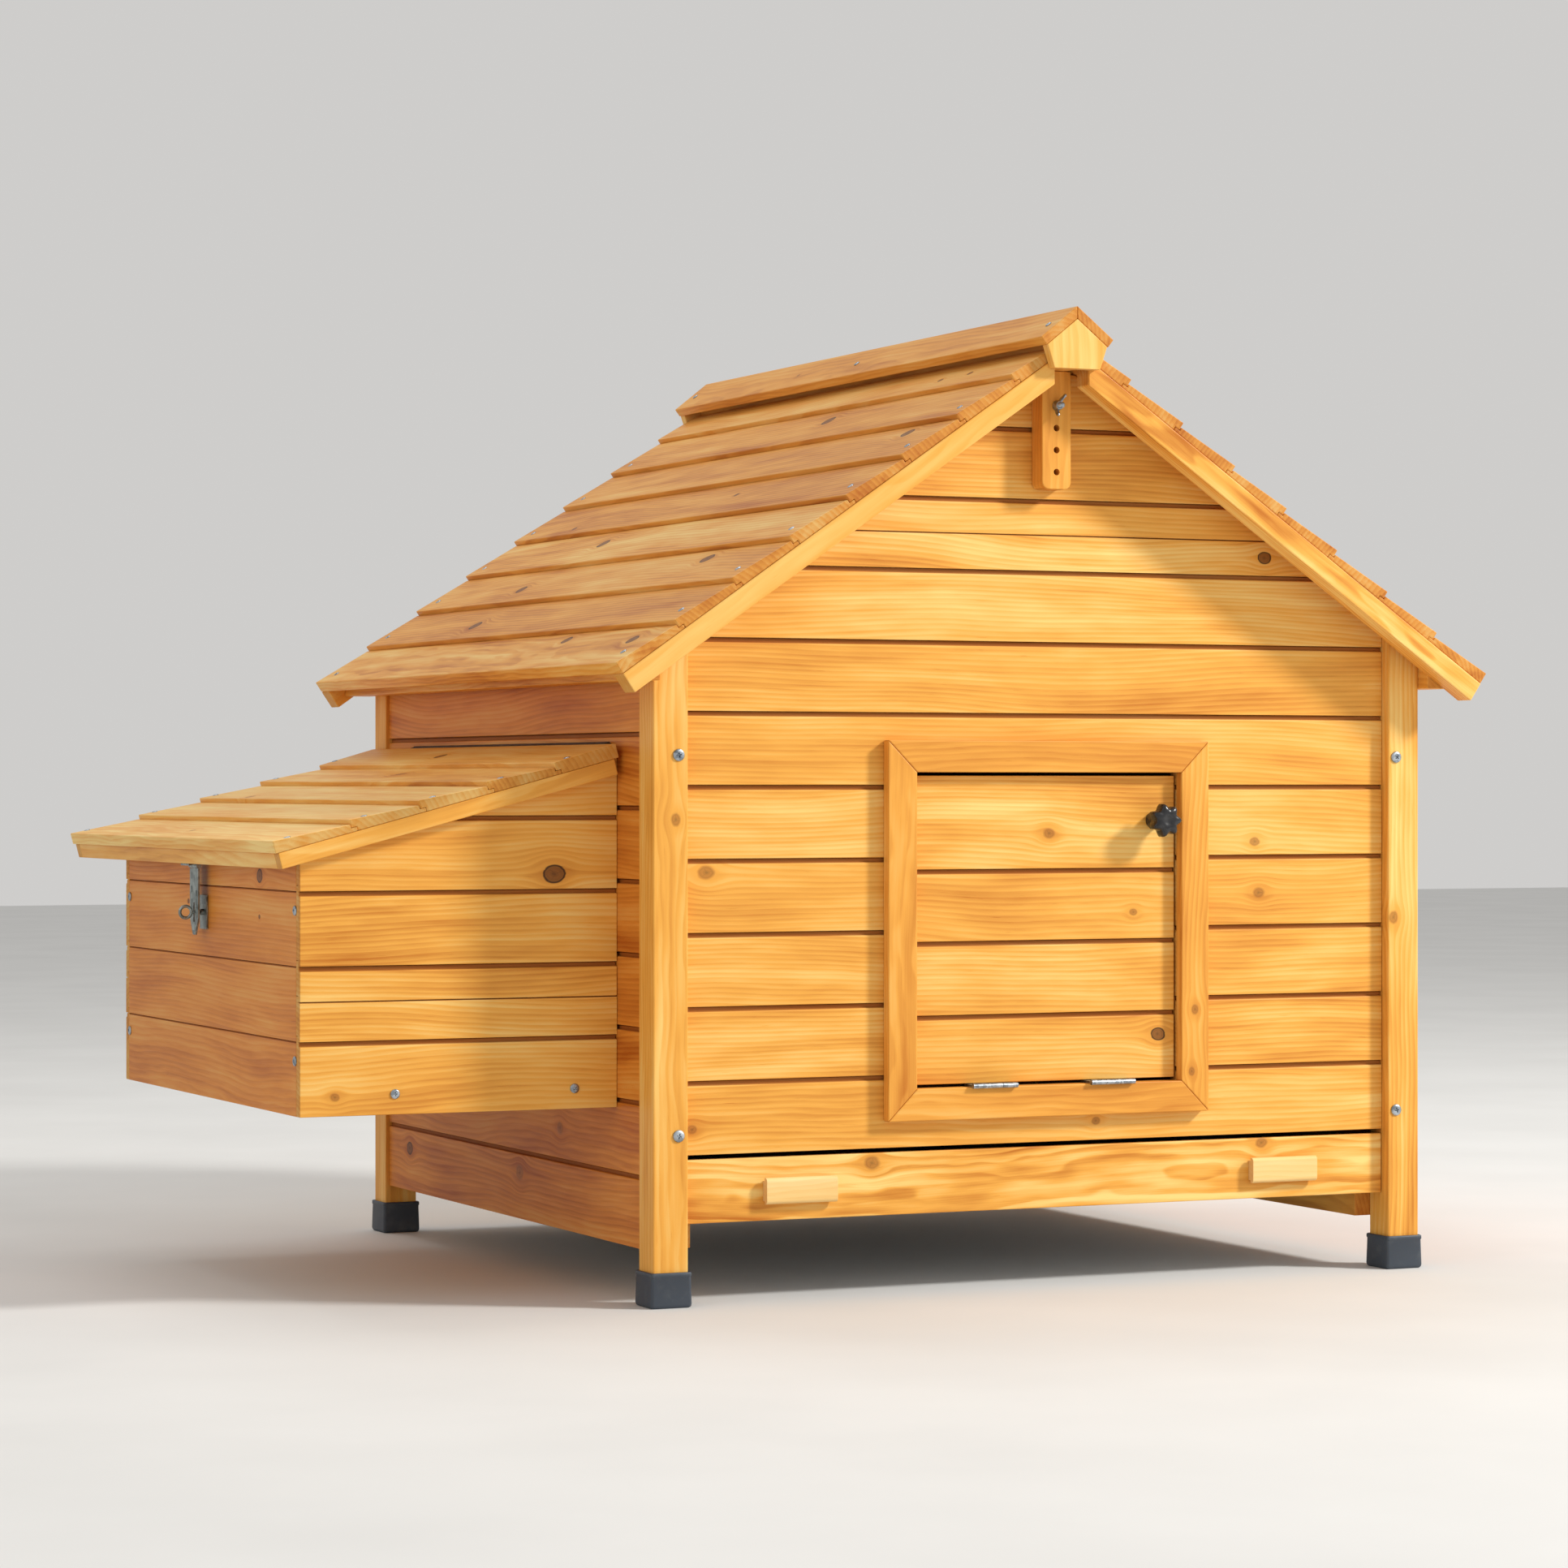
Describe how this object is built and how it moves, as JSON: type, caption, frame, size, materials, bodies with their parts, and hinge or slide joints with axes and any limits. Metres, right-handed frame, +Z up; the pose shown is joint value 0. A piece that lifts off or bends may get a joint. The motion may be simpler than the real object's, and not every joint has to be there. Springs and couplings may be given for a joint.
{
  "type": "chicken coop",
  "caption": "Raised wooden chicken coop with a drop-down front door, a side nest box under a hinged lid, a pull-out litter tray and a lifting ridge vent cap.",
  "frame": {"origin": "on the ground under the middle of the whole coop, nest box and roof eaves included", "axes": "+Z up; the front door faces -Y; the nest box stands out towards -X"},
  "size_m": [1.3348, 0.9646, 1.0233],
  "materials": {
    "stained_wood": "honey-stained fir, satin",
    "pale_wood": "plain pale fir, satin",
    "zinc_hardware": "zinc plated, slightly dulled",
    "knob_plastic": "black moulded plastic, half gloss",
    "foot_cap_plastic": "dark slate plastic, fine grain",
    "tray_sheet": "galvanised sheet"
  },
  "bodies": {
    "house": {"post_front_left": "stained_wood", "post_front_right": "stained_wood", "post_back_left": "stained_wood", "post_back_right": "stained_wood", "foot_cap_front_left": "foot_cap_plastic", "foot_cap_front_right": "foot_cap_plastic", "foot_cap_back_left": "foot_cap_plastic", "foot_cap_back_right": "foot_cap_plastic", "wall_front": "stained_wood", "wall_back": "stained_wood", "wall_left": "stained_wood", "wall_right": "stained_wood", "door_frame_left": "stained_wood", "door_frame_right": "stained_wood", "door_frame_top": "stained_wood", "door_frame_bottom": "stained_wood", "door_hinge_leaf_left": "zinc_hardware", "door_hinge_leaf_right": "zinc_hardware", "roof_boards_left": "stained_wood", "roof_boards_right": "stained_wood", "roof_rafter_front_left": "stained_wood", "roof_rafter_front_right": "stained_wood", "roof_rafter_back_left": "stained_wood", "roof_rafter_back_right": "stained_wood", "roof_eave_batten_left": "stained_wood", "roof_eave_batten_right": "stained_wood", "nest_side_front": "stained_wood", "nest_side_back": "stained_wood", "nest_end": "stained_wood", "nest_floor": "stained_wood", "lid_hinge_leaf": "zinc_hardware", "hasp_staple_plate": "zinc_hardware", "tray_runner_frame": "stained_wood", "perch": "stained_wood"},
    "front_door": {"door_panel": "stained_wood", "door_hinge_flap_left": "zinc_hardware", "door_hinge_flap_right": "zinc_hardware"},
    "door_latch": {"door_knob": "knob_plastic", "door_latch_tab": "zinc_hardware"},
    "nest_lid": {"lid_boards": "stained_wood", "lid_frame": "stained_wood", "lid_hinge_flap": "zinc_hardware", "hasp_leaf": "zinc_hardware"},
    "hasp": {"hasp_strap": "zinc_hardware"},
    "staple": {"hasp_staple": "zinc_hardware"},
    "litter_tray": {"tray_front": "stained_wood", "tray_pan": "tray_sheet", "tray_handle_left": "pale_wood", "tray_handle_right": "pale_wood"},
    "ridge_cap": {"ridge_cap_board_left": "stained_wood", "ridge_cap_board_right": "stained_wood", "ridge_cap_end_front": "stained_wood", "ridge_cap_end_back": "stained_wood", "ridge_spine": "stained_wood", "vent_bar_front": "stained_wood", "vent_bar_back": "stained_wood", "vent_bolt_front": "zinc_hardware", "vent_bolt_back": "zinc_hardware"},
    "wing_nut_front": {"vent_wing_nut_front": "zinc_hardware"},
    "wing_nut_back": {"vent_wing_nut_back": "zinc_hardware"}
  },
  "joints": [
    {"name": "front_door_hinge", "type": "hinge", "parent": "house", "child": "front_door", "pos_m": [0.15746, -0.4282, 0.214], "axis": [1, 0, 0], "range_deg": [0, 130]},
    {"name": "door_knob_turn", "type": "hinge", "parent": "front_door", "child": "door_latch", "pos_m": [0.28321, -0.412, 0.489], "axis": [0, -1, 0], "range_deg": [0, 90]},
    {"name": "nest_lid_hinge", "type": "hinge", "parent": "house", "child": "nest_lid", "pos_m": [-0.29579, -0.0075, 0.5694], "axis": [0, 1, 0], "range_deg": [0, 68]},
    {"name": "hasp_strap_hinge", "type": "hinge", "parent": "nest_lid", "child": "hasp", "pos_m": [-0.64471, 0.0025, 0.44168], "axis": [0, 1, 0], "range_deg": [0, 80]},
    {"name": "hasp_staple_swivel", "type": "hinge", "parent": "house", "child": "staple", "pos_m": [-0.64429, 0.0025, 0.392], "axis": [1, 0, 0], "range_deg": [0, 90]},
    {"name": "litter_tray_slide", "type": "slide", "parent": "house", "child": "litter_tray", "axis": [0, 1, 0], "range_m": [-0.62, 0]},
    {"name": "ridge_cap_lift", "type": "slide", "parent": "house", "child": "ridge_cap", "axis": [0, 0, 1], "range_m": [0, 0.069]},
    {"name": "wing_nut_front_turn", "type": "hinge", "parent": "ridge_cap", "child": "wing_nut_front", "pos_m": [0.15571, -0.4363, 0.9233], "axis": [0, -1, 0], "continuous": true},
    {"name": "wing_nut_back_turn", "type": "hinge", "parent": "ridge_cap", "child": "wing_nut_back", "pos_m": [0.15571, 0.4363, 0.9233], "axis": [0, 1, 0], "continuous": true}
  ]
}
